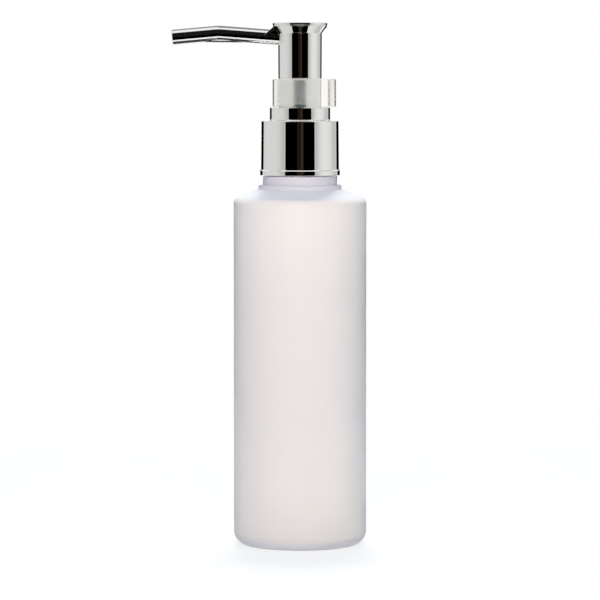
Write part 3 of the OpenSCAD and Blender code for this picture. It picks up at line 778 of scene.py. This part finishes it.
# %% Inner plastics
inner_grain = {"Grain": 3000.0, "Waves": 150.0, "Grain_depth": 0.4, "Wave_depth": 0.6, "Low": 0.34, "High": 0.46}
natural = finish("natural_plastic", linear(238, 238, 234), MOULDED, inner_grain, Transmission_Weight=0.45, IOR=1.49)
white = finish("white_plastic", linear(236, 236, 235), MOULDED, {**inner_grain, "Low": 0.28, "High": 0.38}, IOR=1.49)
tube = finish(
    "dip_tube_plastic",
    linear(240, 240, 238),
    MOULDED,
    {**inner_grain, "Grain_depth": 0.05, "Wave_depth": 0.2, "Low": 0.3, "High": 0.36},
    bump=0.005,
    Transmission_Weight=0.55,
    IOR=1.5,
)
soft = finish(
    "piston_plastic",
    linear(226, 231, 236),
    MOULDED,
    {**inner_grain, "Low": 0.4, "High": 0.5},
    Transmission_Weight=0.3,
)
foam = finish(
    "gasket_foam",
    linear(232, 232, 228),
    MOULDED,
    {"Grain": 5000.0, "Waves": 900.0, "Grain_depth": 1.0, "Wave_depth": 0.6, "Low": 0.75, "High": 0.9},
    bump=0.08,
)
glass = finish(
    "ball_glass",
    linear(246, 250, 252),
    MOULDED,
    {"Grain": 800.0, "Waves": 200.0, "Grain_depth": 0.1, "Wave_depth": 0.2, "Low": 0.01, "High": 0.03},
    bump=0.005,
    Transmission_Weight=1.0,
    IOR=1.52,
)
dress(natural, ["pump_housing", "stem_retainer", "stem", "stem_plug"])
dress(white, ["closure_cap", "head_core", cap_thread])
dress(tube, ["dip_tube"])
dress(soft, ["piston_seal"])
dress(foam, ["gasket"])
dress(glass, ["inlet_ball"])

# %% [markdown]
# ## Studio
#
# Chrome shows the room, so the room is half of its finish. A product photographer hangs pale panels on both sides
# and leaves a dark gap where the camera looks in, which makes the black band down the middle of each chromed part.
# Brown seams in the gap stand for what a real gap shows of the room. The panels are graded, because a lamp lights
# each of them unevenly. Dark flags behind draw the edges, a grey strip high behind draws a line on top of the
# spout, and a dark stand below fills the underside of the spout and of the rim. The cards here are patches of a
# large sphere and sheets on the floor. Mirrors or clear plastic see them, and nothing else does, so they cast no
# shadow and never hide the part.

# %% Card shapes
STUDIO_R, STUDIO_CENTRE, SIDE = 2.2, np.array([0, 0, 0.16]), 33


def dome_patch(sideways, upright, radius=STUDIO_R):
    """A patch of a sphere: centre + R * (sin a cos e, -cos a cos e, sin e), a from the camera's side towards +X
    and e above the horizon, both between two angles in degrees."""
    a = np.radians(np.linspace(*sideways, SIDE))[:, None]
    e = np.radians(np.linspace(*upright, SIDE))[None, :]
    return STUDIO_CENTRE + radius * np.stack([np.sin(a) * np.cos(e), -np.cos(a) * np.cos(e), np.sin(e) + 0 * a], -1)


def floor_wedge(sideways, near, far, height=0.001):
    """A piece of a ring on the floor: (r sin a, -r cos a, h), between two angles and two distances."""
    a = np.radians(np.linspace(*sideways, SIDE))[:, None]
    r = np.linspace(near, far, SIDE)[None, :]
    return np.stack([r * np.sin(a), -r * np.cos(a), height + 0 * a * r], -1)


def floor_sheet(x, y, height=0.001):
    """A rectangle on the floor between two values of x and two of y."""
    u, v = np.linspace(*x, SIDE)[:, None], np.linspace(*y, SIDE)[None, :]
    return np.stack([u + 0 * v, v + 0 * u, height + 0 * u * v], -1)


print("cards stand", STUDIO_R, "m round the part")


# %% Hanging a card
def glow(name, tint):
    """A material that gives off light in a tint, as strong as the level written on each point of its card."""
    made = bpy.data.materials.new(name)
    made.use_nodes = True
    tree = made.node_tree
    tree.nodes.clear()
    light = add(tree, "ShaderNodeEmission", Color=(*tint, 1))
    join(tree, (add(tree, "ShaderNodeAttribute", attribute_name="level"), "Fac"), (light, "Strength"))
    join(tree, (light, 0), (add(tree, "ShaderNodeOutputMaterial"), "Surface"))
    return made


def hang(name, points, level, tint=(1, 1, 1), mirrors=True, clear=False):
    """Makes a card from a grid of SIDE x SIDE points. Its level is one number, or SIDE of them along its first side,
    and level 0 is black. Mirrors see the card, or clear plastic does."""
    i, j = np.arange(SIDE - 1)[:, None] * SIDE, np.arange(SIDE - 1)[None, :]
    faces = np.stack([i + j, i + j + 1, i + j + SIDE + 1, i + j + SIDE], -1).reshape(-1, 4)
    mesh = bpy.data.meshes.new(name)
    mesh.from_pydata(points.reshape(-1, 3).tolist(), [], faces.tolist())
    levels = np.broadcast_to(np.atleast_1d(level)[:, None], (SIDE, SIDE)).ravel().astype(np.float32)
    mesh.attributes.new("level", "FLOAT", "POINT").data.foreach_set("value", levels)
    mesh.materials.append(glow(name, tint))
    made = bpy.data.objects.new(name, mesh)
    bpy.context.scene.collection.objects.link(made)
    made.visible_camera = made.visible_diffuse = made.visible_shadow = False
    made.visible_glossy, made.visible_transmission = mirrors, clear


# %% Cards seen by mirrors
GAP, FLAG, BACK = 44, 138, 176
LOW, HORIZON, FLAG_TOP, PANEL_TOP, GAP_TOP = -4.1, 1.1, 10, 60, 64
GAP_NEAR, PANEL_NEAR, FLAG_NEAR = 0.184, 0.05, 0.5
LEFT_PANEL = [
    *[(44, 0.55), (49, 0.56), (53, 0.53), (56, 0.6), (63, 0.68)],
    *[(77, 0.74), (118, 0.76), (125, 0.72), (131, 0.66), (134, 0.8)],
]
RIGHT_PANEL = [
    *[(44, 0.6), (49, 0.53), (56, 0.67), (63, 0.78), (70, 0.84), (81, 0.87)],
    *[(98, 0.8), (108, 0.7), (118, 0.59), (125, 0.57), (131, 0.64)],
]
GAP_LEVEL, STRIP_LEVEL, STAND_LEVEL = 0.011, 0.3, 0.06
BROWN, DARK_BROWN = (0.036, 0.024, 0.016), (0.02, 0.014, 0.011)
SEAM, SEAM_SIDE, SEAM_TOP, SEAM_R = (1, 10), (-8, -2), 2, 2.1
STRIP, STRIP_HEIGHT, STRIP_R = (160, 200), (14, 87), 2.3
STAND_X, STAND_FRONT, STAND_BACK, STAND_H = 0.079, -0.064, 0.14, 0.002
GREY_X, GREY_FRONT, GREY_H = (-0.06, -0.013), -0.028, 0.003
STAND_SEAM_X, STAND_SEAM_BACK = (-0.012, 0.019), -0.03

hang("dark_gap", dome_patch((-GAP, GAP), (HORIZON, GAP_TOP)), GAP_LEVEL)
hang("dark_gap_low", dome_patch((-GAP, GAP), (LOW, HORIZON)), 0.0)
hang("dark_gap_floor", floor_wedge((-GAP, GAP), GAP_NEAR, STUDIO_R), 0.0)
hang("seam", dome_patch(SEAM, (LOW, SEAM_TOP), SEAM_R), 1.0, BROWN)
hang("seam_side", dome_patch(SEAM_SIDE, (LOW, SEAM_TOP), SEAM_R), 1.0, DARK_BROWN)
for side, panel in ((-1, LEFT_PANEL), (1, RIGHT_PANEL)):
    levels = np.interp(np.linspace(GAP, FLAG, SIDE), *zip(*panel))
    hang("panel", dome_patch((side * GAP, side * FLAG), (LOW, PANEL_TOP)), levels)
    hang("panel_floor", floor_wedge((side * GAP, side * FLAG), PANEL_NEAR, STUDIO_R), levels)
    hang("flag", dome_patch((side * FLAG, side * BACK), (LOW, FLAG_TOP)), 0.0)
    hang("flag_floor", floor_wedge((side * FLAG, side * BACK), FLAG_NEAR, STUDIO_R), 0.0)
hang("grey_back", dome_patch(STRIP, STRIP_HEIGHT, STRIP_R), STRIP_LEVEL)
hang("dark_stand", floor_sheet((-STAND_X, STAND_X), (STAND_FRONT, STAND_BACK), STAND_H), 0.0)
hang("grey_stand", floor_sheet(GREY_X, (GREY_FRONT, STAND_BACK), GREY_H), STAND_LEVEL)
hang("stand_seam", floor_sheet(STAND_SEAM_X, (STAND_FRONT, STAND_SEAM_BACK), GREY_H), 1.0, BROWN)
print("gap of", 2 * GAP, "degrees, panels to", FLAG, "and flags behind")

# %% Cards seen through clear plastic
SOFT_GAP, SOFT_GAP_TOP, SOFT_TINT = 31, 84, (0.003, 0.024, 0.04)
SOFT_LEFT, SOFT_RIGHT = 0.72, 0.86

hang("soft_gap", dome_patch((-SOFT_GAP, SOFT_GAP), (LOW, SOFT_GAP_TOP)), 1.0, SOFT_TINT, mirrors=False, clear=True)
for side, level in ((-1, SOFT_LEFT), (1, SOFT_RIGHT)):
    sideways = (side * SOFT_GAP, side * FLAG)
    hang("soft_panel", dome_patch(sideways, (LOW, PANEL_TOP)), level, mirrors=False, clear=True)
print("through the clip: gap of", 2 * SOFT_GAP, "degrees")

# %% [markdown]
# ## Floor
#
# The floor is pale and plain. Seen directly, and in glass and metal, most of it is its own white, so that it meets
# the background without a line. The rest of it takes the soft shadow. Further out it fades to all white.

# %% Floor
FLOOR_R, FLOOR_SIDES, SHADOW_SHARE, FADE_FROM, FADE_TO = 4.0, 64, 0.25, 0.12, 0.55
PAPER = (0.8, 0.8, 0.8, 1)
floor_mesh = bpy.data.meshes.new("floor")
a = np.linspace(0, 2 * np.pi, FLOOR_SIDES, endpoint=False)
floor_ring = np.stack([FLOOR_R * np.cos(a), FLOOR_R * np.sin(a), 0 * a], 1)
floor_mesh.from_pydata(floor_ring.tolist(), [], [list(range(FLOOR_SIDES))])
floor = bpy.data.objects.new("floor", floor_mesh)
bpy.context.scene.collection.objects.link(floor)


def seen_directly(tree):
    """Is Camera Ray + Is Glossy Ray + Is Transmission Ray: 1 where the background is seen, 0 where it lights."""
    path = add(tree, "ShaderNodeLightPath")
    first = add(tree, "ShaderNodeMath", operation="ADD")
    second = add(tree, "ShaderNodeMath", operation="ADD", use_clamp=True)
    join(tree, (path, "Is Camera Ray"), (first, 0))
    join(tree, (path, "Is Glossy Ray"), (first, 1))
    join(tree, (first, 0), (second, 0))
    join(tree, (path, "Is Transmission Ray"), (second, 1))
    return second, 0


floor_finish = bpy.data.materials.new("floor_finish")
floor_finish.use_nodes = True
tree = floor_finish.node_tree
tree.nodes.clear()
where = add(tree, "ShaderNodeTexCoord")
away = add(tree, "ShaderNodeVectorMath", operation="LENGTH")
join(tree, (where, "Object"), (away, 0))
fade = add(tree, "ShaderNodeMapRange", interpolation_type="SMOOTHSTEP")
for label, value in (("From Min", FADE_FROM), ("From Max", FADE_TO), ("To Min", 1 - SHADOW_SHARE), ("To Max", 1.0)):
    fade.inputs[label].default_value = value
join(tree, (away, "Value"), (fade, "Value"))
white_share = add(tree, "ShaderNodeMath", operation="MULTIPLY")
join(tree, seen_directly(tree), (white_share, 0))
join(tree, (fade, "Result"), (white_share, 1))
paper = add(tree, "ShaderNodeBsdfDiffuse", Color=PAPER)
bright = add(tree, "ShaderNodeEmission", Strength=1.0)
both = add(tree, "ShaderNodeMixShader")
join(tree, (white_share, 0), (both, 0))
join(tree, (paper, 0), (both, 1))
join(tree, (bright, 0), (both, 2))
join(tree, (both, 0), (add(tree, "ShaderNodeOutputMaterial"), "Surface"))
floor_mesh.materials.append(floor_finish)
print("floor of", FLOOR_R, "m,", SHADOW_SHARE, "of it takes the shadow")

# %% [markdown]
# ## Light
#
# The world is white where it is seen, and a low, cool level where it lights the part. A warm soft lamp in front
# shapes the round body, a weaker one does the same behind, and a large one overhead fills the shoulder. A small
# lamp with a grid, which narrows its beam, stands high and a little behind: it lights the shoulder's sides and lets
# the closure's shadow fall on its front. None of them shows in the chrome, whose reflections come from the world
# and the cards.

# %% World and lamps
AMBIENT, AMBIENT_TINT = 0.325, (0.57, 0.88, 1.34)
WARM_WHITE, WARMER, COOL_WHITE, GRID = (1.0, 0.9, 0.8), (1.0, 0.84, 0.66), (0.96, 0.98, 1.03), 90
world = bpy.data.worlds.new("studio")
bpy.context.scene.world = world
world.use_nodes = True
tree = world.node_tree
tree.nodes.clear()
lighting = add(tree, "ShaderNodeBackground", Color=(*AMBIENT_TINT, 1), Strength=AMBIENT)
background = add(tree, "ShaderNodeBackground", Color=(1, 1, 1, 1), Strength=1.0)
both = add(tree, "ShaderNodeMixShader")
join(tree, seen_directly(tree), (both, 0))
join(tree, (lighting, 0), (both, 1))
join(tree, (background, 0), (both, 2))
join(tree, (both, 0), (add(tree, "ShaderNodeOutputWorld"), "Surface"))


def lamp(name, place, aim, size, power, tint, beam=180):
    """A square soft lamp that looks from a place at a point, with a beam in degrees, hidden from reflections."""
    data = bpy.data.lights.new(name, "AREA")
    data.shape, data.size, data.energy, data.color, data.spread = "SQUARE", size, power, tint, np.radians(beam)
    made = bpy.data.objects.new(name, data)
    bpy.context.scene.collection.objects.link(made)
    made.location = place
    made.rotation_euler = (made.location - Vector(aim)).to_track_quat("Z", "Y").to_euler()
    made.visible_glossy = made.visible_camera = made.visible_transmission = False


lamp("front_lamp", (0.0, -0.62, 0.3), (0, 0, 0.12), 0.35, 2.68, WARM_WHITE)
lamp("back_lamp", (0.0, 0.62, 0.2), (0, 0, 0.07), 0.35, 1.3, WARMER)
lamp("over_lamp", (0.0, -0.9, 1.3), (0, 0, 0.13), 1.2, 5.0, COOL_WHITE)
lamp("grid_lamp", (0.0, 0.3, 1.1), (0, 0, 0.13), 0.2, 2.3, COOL_WHITE, GRID)
bpy.context.scene.view_settings.view_transform = "Standard"
print("world at", AMBIENT, "and four lamps")
